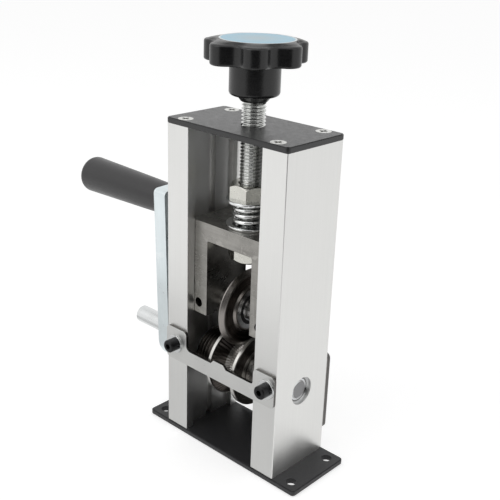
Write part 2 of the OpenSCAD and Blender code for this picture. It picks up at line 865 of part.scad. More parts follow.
// Outline of the hub with its ring grooves, radius against x
function hub_points() =
    let (r = hub_d / 2, p = hub_ring_pitch, d = hub_ring_depth, x0 = hub_end_x + edge_break)
        concat(
            [[0, hub_end_x], [r - edge_break, hub_end_x], [r, x0]],
            [
                for (i = [1 : hub_rings], k = [0, 1, 2])
                    [r - (k == 1 ? d : 0), x0 + (i - 1 + ring_shares[k]) * p]
            ],
            [[r, -roller_half], [0, -roller_half]]
        );

// Radius of the groove's toothed wall at point i of a ring, on a cone of radius r
function tooth_radius(i, r, depth) = r - (i % 2) * depth;

// Rings of the toothed groove: x and the tooth tips' radius, from left to right
groove_rings = [
    [-groove_half - land_w / 2, roller_d / 2 - edge_break],
    [-groove_half, roller_d / 2 - edge_break],
    [-root_half, root_r],
    [root_half, root_r],
    [groove_half, roller_d / 2 - edge_break],
    [groove_half + land_w / 2, roller_d / 2 - edge_break]
];

// The waist between the roller's two lands, its walls toothed all round
module toothed_waist() {
    n = 2 * tooth_count;
    m = len(groove_rings);
    first = n * m;
    points = concat(
        [
            for (g = groove_rings, i = [0 : n - 1])
                let (a = i * 360 / n, r = tooth_radius(i, g[1], tooth_depth * g[1] / (roller_d / 2)))
                    [r * cos(a), r * sin(a), g[0]]
        ],
        [[0, 0, groove_rings[0][0]], [0, 0, groove_rings[m - 1][0]]]
    );
    sides = [
        for (k = [0 : m - 2], i = [0 : n - 1])
            let (a = k * n + i, b = k * n + (i + 1) % n)
                each [[a, a + n, b + n], [a, b + n, b]]
    ];
    ends = [
        for (i = [0 : n - 1])
            let (j = (i + 1) % n)
                each [[first, i, j], [first + 1, (m - 1) * n + j, (m - 1) * n + i]]
    ];
    polyhedron(points, concat(sides, ends));
}

module feed_roller() {
    e = edge_break;
    color("#5c5856")
        translate([0, 0, shaft_z]) along_x()
            difference() {
                union() {
                    toothed_waist();
                    for (m = [0, 1])
                        mirror([0, 0, m])
                            rotate_extrude()
                                polygon([
                                    [0, groove_half], [roller_d / 2, groove_half],
                                    [roller_d / 2, roller_half - e],
                                    [roller_d / 2 - e, roller_half], [0, roller_half]
                                ]);
                    rotate_extrude() polygon(hub_points());
                }
                translate([0, 0, hub_end_x - cut])
                    cylinder(d = shaft_d + 2 * race_gap, h = roller_half - hub_end_x + 2 * cut);
                translate([0, 0, hub_mid_x])
                    facing_back() cylinder(d = set_screw_d, h = hub_d);
            }
}

module roller_set_screw() {
    l = hub_d / 2 - shaft_d / 2 - set_screw_inset;
    color("#2a2a2c")
        translate([0, 0, shaft_z]) along_x()
            translate([0, shaft_d / 2, hub_mid_x]) facing_back() set_screw(l);
}

module roller_sleeve() {
    l = right_bearing_x - roller_half;
    land = inner_land_d(right_bearing_d, shaft_d, right_ball_d);
    color("#8c8b89")
        on_shaft(roller_half)
            difference() {
                union() {
                    chamfered_disc(roller_sleeve_d / 2, floor_x - end_play - roller_half, edge_break);
                    cylinder(d = land, h = l);
                }
                translate([0, 0, -cut])
                    cylinder(d = shaft_d + 2 * race_gap, h = l + 2 * cut);
            }
}

module arm_sleeve() {
    land = inner_land_d(left_bearing_d, shaft_d, left_ball_d);
    color("#b9babb")
        on_shaft(arm_in_x)
            difference() {
                union() {
                    cylinder(d = arm_sleeve_d, h = arm_gap - end_play);
                    cylinder(d = land, h = arm_gap + left_recess);
                }
                translate([0, 0, -cut])
                    cylinder(d = shaft_d + 2 * race_gap, h = arm_gap + left_recess + 2 * cut);
            }
}

// Outline of the crank arm, shaft at the origin and grip at y = crank_r
module arm_outline() {
    l = crank_r + arm_over;
    r = arm_corner_r;
    circle(d = arm_w);
    translate([-arm_w / 2, 0]) square([arm_w, l - r]);
    translate([-arm_w / 2 + r, 0]) square([arm_w - 2 * r, l]);
    for (x = [-1, 1])
        translate([x * (arm_w / 2 - r), l - r]) circle(r = r);
}

module crank_arm() {
    color("#cdd6d8")
        on_crank()
            difference() {
                translate([arm_out_x, 0, 0])
                    rotate([90, 0, 90]) linear_extrude(arm_t) arm_outline();
                translate([arm_out_x - cut, 0, 0]) along_x()
                    cylinder(d = shaft_d + 2 * race_gap, h = arm_t + 2 * cut);
                translate([arm_out_x - cut, 0, crank_r]) along_x()
                    cylinder(d = grip_bolt_d, h = arm_t + 2 * cut);
                translate([arm_out_x + arm_t / 2, 0, 0])
                    facing_back() cylinder(d = set_screw_d, h = arm_w);
            }
}

module arm_set_screw() {
    l = arm_w / 2 - shaft_d / 2 - set_screw_inset;
    color("#2a2a2c")
        on_crank()
            translate([arm_out_x + arm_t / 2, shaft_d / 2, 0]) facing_back() set_screw(l);
}

// Places its children on the grip's axis, at x
module on_grip(x) {
    on_crank() translate([x, 0, crank_r]) along_x() children();
}

// Outline of the grip, radius against the distance from its outer end
function grip_points() =
    let (r0 = grip_d_far / 2, r1 = grip_d_near / 2, r = grip_round_r, steps = 6, e = edge_break)
        concat(
            [[0, 0]],
            [for (i = [0 : steps]) let (a = i * 90 / steps) [r0 - r + r * sin(a), r - r * cos(a)]],
            [
                [r1 + (r0 - r1) * taper_shares[1], grip_l * taper_shares[0]],
                [r1, grip_l - e], [r1 - e, grip_l], [0, grip_l]
            ]
        );

module grip() {
    pocket = grip_head_h + grip_head_inset;
    color("#3d3c3d")
        on_grip(grip_x)
            difference() {
                rotate_extrude() polygon(grip_points());
                translate([0, 0, -cut]) cylinder(d = grip_bolt_d + 2 * fit_gap, h = grip_l + 2 * cut);
                translate([0, 0, -cut])
                    cylinder(d = grip_head_d + 2 * edge_break, h = pocket + cut);
            }
}

module grip_bolt() {
    l = grip_l - grip_head_inset - grip_head_h + grip_washer_t + arm_t;
    color("#8b8c8d")
        on_grip(grip_x + grip_head_inset + grip_head_h - race_gap)
            mirror([0, 0, 1])
                cap_screw(grip_bolt_d, grip_head_d, grip_head_h - race_gap, l - edge_break, socket_af);
}

module grip_washer() {
    color("#2f2f31")
        on_grip(washer_x + race_gap)
            flat_washer(grip_d_near - 2 * edge_break, grip_bolt_d + 2 * fit_gap, grip_washer_t - race_gap);
}

module yoke() {
    r = yoke_fillet_r;
    color("#7f7d79")
        difference() {
            translate([-yoke_half_w, -yoke_half_d, yoke_z])
                cube([2 * yoke_half_w, 2 * yoke_half_d, yoke_h]);
            translate([-leg_in, -yoke_half_d - cut, yoke_z - cut])
                cube([2 * leg_in, 2 * (yoke_half_d + cut), window_top - yoke_z - r + cut]);
            translate([r - leg_in, -yoke_half_d - cut, yoke_z - cut])
                cube([2 * (leg_in - r), 2 * (yoke_half_d + cut), window_top - yoke_z + cut]);
            for (x = [-1, 1])
                translate([x * (leg_in - r), -yoke_half_d - cut, window_top - r])
                    facing_back() cylinder(r = r, h = 2 * (yoke_half_d + cut));
            translate([0, 0, window_top - cut])
                cylinder(d = yoke_rod_hole_d, h = yoke_bar_t + 2 * cut);
            translate([-yoke_half_w - cut, 0, wheel_z]) along_x()
                cylinder(d = axle_d + 2 * fit_gap, h = 2 * (yoke_half_w + cut));
            for (x = [-1, 1])
                translate([x * yoke_set_x, -yoke_half_d - cut, wheel_z])
                    facing_back() cylinder(d = set_screw_d, h = yoke_half_d + cut);
        }
}

module yoke_set_screws() {
    color("#2a2a2c")
        for (x = [-1, 1])
            translate([x * yoke_set_x, -axle_d / 2, wheel_z])
                facing_front() set_screw(yoke_set_l);
}

// Places its children on the wheel's axis, at x
module on_axle(x) {
    translate([x, 0, wheel_z]) along_x() children();
}

module wheel_axle() {
    color("#b5b6b6")
        on_axle(-yoke_half_w + edge_break)
            chamfered_disc(axle_d / 2, 2 * (yoke_half_w - edge_break), edge_break);
}

module wheel_spacers() {
    l = leg_in - wheel_bearing_w / 2 - race_gap;
    color("#a9a9a8")
        for (m = [0, 1])
            mirror([m, 0, 0])
                on_axle(wheel_bearing_w / 2)
                    tube(spacer_d, axle_d + 2 * fit_gap, l);
}

module cutting_wheel() {
    r = cutter_d / 2;
    t = cutter_t / 2;
    e = edge_flat / 2;
    b = wheel_bearing_d / 2 + boss_wall;
    w = wheel_bearing_w / 2;
    bore = wheel_bearing_d / 2;
    color("#6f6a66")
        on_axle(0)
            rotate_extrude()
                polygon([
                    [bore, -w], [b - boss_draft, -w], [b, -t], [r - bevel_depth, -t],
                    [r, -e], [r, e], [r - bevel_depth, t],
                    [b, t], [b - boss_draft, w], [bore, w]
                ]);
}

module wheel_bearing_outer_ring() {
    color("#c4c5c6") on_axle(-wheel_bearing_w / 2)
        outer_ring(wheel_bearing_d, axle_d, wheel_bearing_w, wheel_ball_d);
}

module wheel_bearing_inner_ring() {
    color("#c4c5c6") on_axle(-wheel_bearing_w / 2)
        inner_ring(wheel_bearing_d, axle_d + 2 * fit_gap, wheel_bearing_w, wheel_ball_d);
}

module wheel_bearing_balls() {
    color("#dcdcdc") on_axle(-wheel_bearing_w / 2)
        balls(wheel_bearing_d, axle_d, wheel_bearing_w, wheel_ball_d);
}

module wheel_bearing_shields() {
    color("#2b2b2c") on_axle(-wheel_bearing_w / 2)
        shields(wheel_bearing_d, axle_d, wheel_bearing_w, wheel_ball_d);
}

// Root, start and end of the crest of one thread ring, as shares of the pitch
thread_shares = [0.05, 0.45, 0.6];

// Outline of the lift screw: thread rings at the real pitch, radius against height
function rod_points() =
    let (r = rod_d / 2, p = rod_pitch, d = thread_depth, count = floor((rod_top - rod_z) / p) - 1)
        concat(
            [[0, rod_z], [r - d, rod_z]],
            [
                for (i = [0 : count], k = [0, 1, 2])
                    [r - (k == 0 ? d : 0), rod_z + (i + thread_shares[k]) * p]
            ],
            [[r - d, rod_top], [0, rod_top]]
        );

module lift_screw() {
    color("#c6c7c5") rotate_extrude() polygon(rod_points());
}

module upper_nut() {
    color("#c9cac6")
        translate([0, 0, nut_z]) hex_nut(nut_af, upper_nut_h, rod_d);
}

module lower_nut() {
    color("#c9cac6")
        translate([0, 0, window_top]) rotate([180, 0, 90]) hex_nut(nut_af, lower_nut_h, rod_d);
}

module upper_spring_seat() {
    color("#d2d3d3")
        translate([0, 0, seat_z]) flat_washer(upper_seat_d, rod_d + 2 * fit_gap, upper_seat_t);
}

module lower_spring_seat() {
    color("#d2d3d3")
        translate([0, 0, yoke_top]) flat_washer(lower_seat_d, rod_d + 2 * fit_gap, lower_seat_t);
}

// Centre line of the spring: straight for one wire diameter at each end, wound between
spring_r = (spring_d - wire_d) / 2;
wound_l = spring_l - 2 * wire_d;
// Straight stretches in one turn of the spring, and their angle
turn_steps = 8;
step_angle = 360 / turn_steps;
spring_steps = turn_steps * spring_turns;
// Number of sides of the spring's wire
wire_sides = 6;
// Angle at which the spring starts, at the back
spring_start = 130;
function spring_point(a, z) =
    [spring_r * cos(spring_start + a), spring_r * sin(spring_start + a), z];
spring_path = concat(
    [spring_point(0, spring_z)],
    [
        for (i = [0 : spring_steps])
            spring_point(i * step_angle, spring_z + wire_d + wound_l * i / spring_steps)
    ],
    [spring_point(spring_steps * step_angle, seat_z)]
);

function unit(v) = v / norm(v);

// One ring of the spring's tube, mitred between the stretches that meet there
function spring_ring(k) =
    let (
        last = len(spring_path) - 1,
        p = spring_path[k],
        before = k == 0 ? [0, 0, 1] : unit(p - spring_path[k - 1]),
        after = k == last ? [0, 0, 1] : unit(spring_path[k + 1] - p),
        along = unit(before + after),
        out = unit([p[0], p[1], 0]),
        side = unit(cross(along, out)) / (before * along)
    )
        [
            for (s = [0 : wire_sides - 1])
                let (a = s * 360 / wire_sides)
                    p + wire_d / 2 * (cos(a) * out + sin(a) * side)
        ];

// Least distance between the tube's surfaces on neighbouring turns
spring_gap = min([
    for (i = [0 : len(spring_path) - 1], j = [0 : len(spring_path) - 1])
        if (j - i > turn_steps / 2) norm(spring_path[j] - spring_path[i]) - wire_d
]);
echo(spring_gap = spring_gap);

module spring() {
    n = len(spring_path);
    m = wire_sides;
    last = m * (n - 1);
    points = [for (k = [0 : n - 1]) each spring_ring(k)];
    sides = [
        for (k = [0 : n - 2], s = [0 : m - 1])
            let (a = m * k + s, b = m * k + (s + 1) % m)
                each [[a, b + m, a + m], [a, b, b + m]]
    ];
    first_end = [for (s = [1 : m - 2]) [0, s + 1, s]];
    last_end = [for (s = [1 : m - 2]) [last, last + s, last + s + 1]];
    color("#d6d7d7") polyhedron(points, concat(sides, first_end, last_end));
}

// Angle of one lobe, towards the front right corner
lobe_angle = -47.7;

// Centres and radius of the arcs that make the valleys between the lobes
lobe_c = knob_d / 2 - lobe_r;
half_pitch = 180 / knob_lobes;
lobe_reach = lobe_c * cos(half_pitch);
floor_r = knob_d / 2 - valley_depth;
valley_r = (pow(lobe_r, 2) - pow(floor_r, 2) - pow(lobe_c, 2) + 2 * floor_r * lobe_reach)
    / (2 * (floor_r - lobe_reach - lobe_r));
valley_c = floor_r + valley_r;

// The label's diameter, and its centre, which lies a little off the knob's axis
label_d = 2 * (floor_r - label_margin);
label_angle = lobe_angle + 4 * half_pitch;
label_x = label_shift * cos(label_angle);
label_y = label_shift * sin(label_angle);

// Angle from a lobe's middle to where its arc meets a valley's arc, at an inset
function meet_angle(inset) =
    let (share = (lobe_r - inset) / (lobe_r + valley_r))
        atan2(
            share * valley_c * sin(half_pitch),
            lobe_c + share * (valley_c * cos(half_pitch) - lobe_c)
        );

// Radius of the knob's lobed outline at angle a, less an inset
function lobe_outline(a, inset) =
    let (
        turned = a - lobe_angle,
        f = abs(turned - 2 * half_pitch * round(turned / (2 * half_pitch))),
        g = half_pitch - f
    )
        f < meet_angle(inset)
            ? lobe_c * cos(f) + sqrt(pow(lobe_r - inset, 2) - pow(lobe_c * sin(f), 2))
            : valley_c * cos(g) - sqrt(pow(valley_r + inset, 2) - pow(valley_c * sin(g), 2));

// Rings of the knob's rim: height above the rim's underside, and inset
rim_rings = concat(
    [[0, knob_round]],
    [for (i = [1 : 3]) let (a = i * 30) [knob_round * (1 - cos(a)), knob_round * (1 - sin(a))]],
    [for (i = [0 : 3]) let (a = i * 30)
        [knob_rim_h - knob_round * (1 - sin(a)), knob_round * (1 - cos(a))]]
);

module knob_rim() {
    n = 14 * knob_lobes;
    m = len(rim_rings);
    crown = m + 1;
    outline = [
        for (g = rim_rings, i = [0 : n - 1])
            let (a = i * 360 / n, r = lobe_outline(a, g[1]))
                [r * cos(a), r * sin(a), g[0]]
    ];
    flat_ring = [
        for (i = [0 : n - 1])
            let (a = i * 360 / n, r = label_d / 2 + 2 * fit_gap)
                [label_x + r * cos(a), label_y + r * sin(a), knob_rim_h + knob_rise]
    ];
    points = concat(outline, flat_ring, [[0, 0, 0], [0, 0, knob_rim_h + knob_rise]]);
    sides = [
        for (k = [0 : m - 1], i = [0 : n - 1])
            let (a = k * n + i, b = k * n + (i + 1) % n)
                each [[a, a + n, b + n], [a, b + n, b]]
    ];
    bottom = crown * n;
    ends = [
        for (i = [0 : n - 1])
            let (j = (i + 1) % n)
                each [[bottom, i, j], [bottom + 1, m * n + j, m * n + i]]
    ];
    polyhedron(points, concat(sides, ends));
}

// Outline of the knob's hub and collar, radius against height above the collar's end
function hub_outline() =
    let (r = knob_hub_d / 2, f = knob_hub_round, h = knob_collar_h)
        concat(
            [[0, 0], [knob_collar_d / 2, 0], [knob_neck_d / 2, h]],
            [for (i = [0 : 6]) let (a = i * 15) [r - f + f * sin(a), h + f - f * cos(a)]],
            [[r, h + knob_hub_h + knob_round], [0, h + knob_hub_h + knob_round]]
        );

module knob() {
    color("#1c1c1e")
        translate([0, 0, knob_z])
            difference() {
                union() {
                    translate([0, 0, rim_z - knob_z]) knob_rim();
                    rotate_extrude() polygon(hub_outline());
                }
                translate([0, 0, -cut])
                    cylinder(d = rod_d + 2 * fit_gap, h = insert_z - knob_z + 2 * cut);
                translate([0, 0, insert_z - knob_z]) cylinder(d = insert_d, h = insert_l);
                translate([label_x, label_y, knob_top - knob_z - label_t])
                    cylinder(d = label_d, h = label_t + cut);
            }
}

module knob_insert() {
    color("#b79a5a")
        translate([0, 0, insert_z]) tube(insert_d - 2 * fit_gap, rod_d, insert_l);
}

module knob_label() {
    color("#a9d3e6")
        translate([label_x, label_y, knob_top - label_t])
            cylinder(d = label_d - 2 * fit_gap, h = label_t);
}

base_plate();
left_upright();
right_upright();
top_plate();
top_screws();
base_screws();
front_guide();
guide_screws();
guide_lock_washers();
guide_washers();
rear_guide();
rear_guide_screws();
left_bearing_outer_ring();
left_bearing_inner_ring();
left_bearing_balls();
left_bearing_shields();
right_bearing_outer_ring();
right_bearing_inner_ring();
right_bearing_balls();
right_bearing_shields();
drive_shaft();
feed_roller();
roller_set_screw();
roller_sleeve();
arm_sleeve();
crank_arm();
arm_set_screw();
grip();
grip_bolt();
grip_washer();
yoke();
yoke_set_screws();
wheel_axle();
wheel_spacers();
cutting_wheel();
wheel_bearing_outer_ring();
wheel_bearing_inner_ring();
wheel_bearing_balls();
wheel_bearing_shields();
lift_screw();
upper_nut();
lower_nut();
upper_spring_seat();
spring();
lower_spring_seat();
knob();
knob_insert();
knob_label();
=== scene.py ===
"""Looks of the hand crank wire stripper: finishes for every CAD node, finer meshes for the lift
screw, the spring and the knob, a white sweep, soft studio light and the photograph's camera.
Everything stands in the CAD model's frame. The scene is in metres. Values that repeat the CAD
source's sizes are in millimetres, and become metres through MM."""

import json
import math

import bpy
from mathutils import Matrix, Vector


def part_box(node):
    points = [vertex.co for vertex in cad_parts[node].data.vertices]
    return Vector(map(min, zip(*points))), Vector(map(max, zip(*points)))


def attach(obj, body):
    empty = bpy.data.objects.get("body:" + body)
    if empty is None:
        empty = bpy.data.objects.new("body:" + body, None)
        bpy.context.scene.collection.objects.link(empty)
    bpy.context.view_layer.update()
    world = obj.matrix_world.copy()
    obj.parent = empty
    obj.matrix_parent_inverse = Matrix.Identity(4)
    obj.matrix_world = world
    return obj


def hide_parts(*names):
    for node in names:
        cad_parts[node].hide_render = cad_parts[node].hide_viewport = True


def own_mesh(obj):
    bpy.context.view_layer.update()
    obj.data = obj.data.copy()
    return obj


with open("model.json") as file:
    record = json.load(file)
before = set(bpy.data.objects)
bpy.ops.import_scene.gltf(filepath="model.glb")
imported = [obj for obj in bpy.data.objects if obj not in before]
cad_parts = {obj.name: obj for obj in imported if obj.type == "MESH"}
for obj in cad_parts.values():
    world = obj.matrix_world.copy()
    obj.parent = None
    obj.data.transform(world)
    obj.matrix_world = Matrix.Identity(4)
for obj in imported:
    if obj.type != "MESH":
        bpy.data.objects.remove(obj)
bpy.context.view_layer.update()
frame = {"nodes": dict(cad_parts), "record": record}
NODES = frame["nodes"]
MM = 0.001

# Sizes repeated from the CAD source: the lift screw's thread, the shaft's height, the crank
ROD_R, PITCH, THREAD_DEPTH = 6.0, 1.75, 1.07
SHAFT_Z = 46.5
CRANK_R, CRANK_LEAN = 78.5, 1.7

# Where the sRGB curve turns from a line into a power
SRGB_KNEE = 0.04045

# Spans of a noise's values that a ramp stretches: wide, towards its high side, and round its middle
WIDE, HIGH, MIDDLE = (0.3, 0.7), (0.35, 0.7), (0.35, 0.65)
# Spans for thin scratches in two directions, and for the pointiness of worn edges
SCRATCH_A, SCRATCH_B, WORN = (0.66, 0.7), (0.67, 0.71), (0.545, 0.59)
# Spans for how far a face looks along an axis: a shaft's end, a sheet's cut edge
END_FACE, CUT_FACE = (0.7, 0.9), (0.3, 0.6)
SCRATCH_DEPTH = 0.00002


def linear(code):
    """The linear colour of a code such as #d8d8d6, as four numbers."""
    parts = [int(code[i : i + 2], 16) / 255 for i in (1, 3, 5)]
    return tuple(
        c / 12.92 if c <= SRGB_KNEE else ((c + 0.055) / 1.055) ** 2.4 for c in parts
    ) + (1.0,)


def scaled(color, k):
    """A linear colour made lighter or darker by k, kept under 1."""
    return tuple(min(1.0, c * k) for c in color[:3]) + (1.0,)


class Tree:
    """A material's node tree with short calls for adding and linking nodes."""

    def __init__(self, name):
        self.material = bpy.data.materials.new(name)
        self.material.use_nodes = True
        self.tree = self.material.node_tree
        self.tree.nodes.clear()
        self.output = self.add("ShaderNodeOutputMaterial")
        self.shader = self.add("ShaderNodeBsdfPrincipled")
        self.link(self.shader.outputs[0], self.output.inputs["Surface"])
        self.object_coords = self.add("ShaderNodeTexCoord").outputs["Object"]

    def add(self, kind, **settings):
        node = self.tree.nodes.new(kind)
        for key, value in settings.items():
            setattr(node, key, value)
        return node

    def link(self, source, target):
        self.tree.links.new(source, target)

    def feed(self, socket, value):
        """Links a value that is an output to a socket, and writes one that is a number there."""
        if isinstance(value, bpy.types.NodeSocket):
            self.link(value, socket)
        else:
            socket.default_value = value

    def math(self, operation, a, b=0.0):
        node = self.add("ShaderNodeMath", operation=operation)
        self.feed(node.inputs[0], a)
        self.feed(node.inputs[1], b)
        return node.outputs[0]

    def split(self, vector):
        """The x, y and z of a vector, as three outputs."""
        node = self.add("ShaderNodeSeparateXYZ")
        self.link(vector, node.inputs[0])
        return node.outputs

    def stretched(self, scale, coords=None, turn=(0, 0, 0)):
        """Coordinates in metres, turned by degrees and scaled so that a noise on them has features
        of 1/scale metres."""
        node = self.add("ShaderNodeMapping")
        self.link(coords or self.object_coords, node.inputs["Vector"])
        node.inputs["Scale"].default_value = scale
        node.inputs["Rotation"].default_value = [math.radians(a) for a in turn]
        return node.outputs[0]

    def lathe(self, axis, centre):
        """Coordinates that run along an axis and out from it, for the marks of turning, and the
        distance from the axis."""
        parts = self.split(self.object_coords)
        along = "XYZ".index(axis)
        squares = []
        for i in range(3):
            if i != along:
                d = self.math("SUBTRACT", parts[i], centre[i])
                squares.append(self.math("MULTIPLY", d, d))
        radius = self.math("SQRT", self.math("ADD", *squares))
        join = self.add("ShaderNodeCombineXYZ")
        self.link(parts[along], join.inputs[0])
        self.link(radius, join.inputs[1])
        return join.outputs[0], radius

    def facing(self, axis):
        """How far a face looks along an axis of the object, either way, from 0 to 1."""
        turn = self.add("ShaderNodeVectorTransform", vector_type="NORMAL")
        turn.convert_from, turn.convert_to = "WORLD", "OBJECT"
        self.link(self.add("ShaderNodeNewGeometry").outputs["True Normal"], turn.inputs[0])
        return self.math("ABSOLUTE", self.split(turn.outputs[0])["XYZ".index(axis)])

    def noise(self, coords, detail=4.0, roughness=0.55):
        node = self.add("ShaderNodeTexNoise")
        self.link(coords, node.inputs["Vector"])
        node.inputs["Scale"].default_value = 1.0
        node.inputs["Detail"].default_value = detail
        node.inputs["Roughness"].default_value = roughness
        return node.outputs["Fac"]

    def ramp(self, value, span, out_low=0.0, out_high=1.0):
        """A value's place in a span, as a number from out_low to out_high."""
        node = self.add("ShaderNodeMapRange")
        self.feed(node.inputs["Value"], value)
        node.inputs["From Min"].default_value, node.inputs["From Max"].default_value = span
        node.inputs["To Min"].default_value = out_low
        node.inputs["To Max"].default_value = out_high
        return node.outputs[0]

    def mix(self, share, a, b):
        """Colour a where the share is 0, colour b where it is 1."""
        node = self.add("ShaderNodeMix", data_type="RGBA")
        self.feed(node.inputs[0], share)
        self.feed(node.inputs[6], a)
        self.feed(node.inputs[7], b)
        return node.outputs[2]

    def bump(self, height, depth, before=None):
        node = self.add("ShaderNodeBump")
        node.inputs["Distance"].default_value = depth
        self.link(height, node.inputs["Height"])
        if before is not None:
            self.link(before, node.inputs["Normal"])
        return node.outputs[0]

    def finished(self, color, roughness, normal, metallic=0.0, specular=0.5):
        """Links the three outputs to the shader and hands over the material."""
        self.link(color, self.shader.inputs["Base Color"])
        self.link(roughness, self.shader.inputs["Roughness"])
        self.link(normal, self.shader.inputs["Normal"])
        self.shader.inputs["Metallic"].default_value = metallic
        self.shader.inputs["Specular IOR Level"].default_value = specular
        return self.material


def surface(
    name,
    code,
    rough,
    metallic=1.0,
    vary=0.12,
    mottle=90.0,
    grain=(2500.0, 2500.0, 2500.0),
    grain_depth=0.00002,
    rough_vary=0.12,
    lathe=None,
    wear=0.0,
    scratch=0.0,
    specular=0.5,
    dark_ends=None,
    dark_cuts=None,
):
    """A procedural finish: broad mottling, fine grain stretched along the working direction, and
    on request turning marks, scratches, worn edges, darker end faces or darker cut edges."""
    t = Tree(name)
    base = linear(code)
    coords = t.lathe(*lathe)[0] if lathe else t.object_coords
    broad = t.noise(t.stretched((mottle,) * 3), detail=5.0, roughness=0.6)
    fine = t.noise(t.stretched(grain, coords), detail=3.0, roughness=0.6)
    color = t.mix(t.ramp(broad, WIDE), scaled(base, 1 - vary), scaled(base, 1 + vary * 0.6))
    color = t.mix(t.ramp(fine, HIGH, 0.0, 0.35), color, scaled(base, 1 - vary * 1.6))
    mean = t.math("ADD", t.math("MULTIPLY", broad, 0.5), t.math("MULTIPLY", fine, 0.5))
    roughness = t.ramp(mean, MIDDLE, max(0.02, rough - rough_vary), min(1.0, rough + rough_vary))
    normal = t.bump(fine, grain_depth)
    if scratch:
        one = t.noise(t.stretched((90.0, 1400.0, 160.0), turn=(20, 35, 50)), detail=2.0)
        other = t.noise(t.stretched((1500.0, 120.0, 90.0), turn=(-30, 10, -40)), detail=2.0)
        lines = t.math("MAXIMUM", t.ramp(one, SCRATCH_A), t.ramp(other, SCRATCH_B))
        color = t.mix(t.math("MULTIPLY", lines, scratch), color, scaled(base, 1.9))
        normal = t.bump(lines, SCRATCH_DEPTH, before=normal)
    if wear:
        edges = t.add("ShaderNodeNewGeometry").outputs["Pointiness"]
        worn = t.ramp(t.math("ADD", edges, t.math("MULTIPLY", broad, 0.04)), WORN)
        color = t.mix(t.math("MULTIPLY", worn, wear), color, scaled(base, 2.4))
    if dark_ends:
        axis, end_code = dark_ends
        end = linear(end_code)
        marks = t.mix(fine, scaled(end, 0.6), end)
        color = t.mix(t.ramp(t.facing(axis), END_FACE), color, marks)
    if dark_cuts:
        axis, cut_code = dark_cuts
        color = t.mix(t.ramp(t.facing(axis), CUT_FACE, 1.0, 0.0), color, linear(cut_code))
    return t.finished(color, roughness, normal, metallic, specular)


# Axes for turning marks, in metres
ON_SHAFT = ("X", (0.0, 0.0, SHAFT_Z * MM))
wheel_low, wheel_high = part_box("cutting_wheel")
ON_AXLE = ("X", (0.0, 0.0, (wheel_low.z + wheel_high.z) / 2))
ON_ROD = ("Z", (0.0, 0.0, 0.0))
LEAN = math.radians(CRANK_LEAN)
GRIP_Y = -CRANK_R * math.sin(LEAN)
GRIP_Z = SHAFT_Z + CRANK_R * math.cos(LEAN)
ON_GRIP = ("X", (0.0, GRIP_Y * MM, GRIP_Z * MM))
TURNED = (9000.0, 9000.0, 1.0)

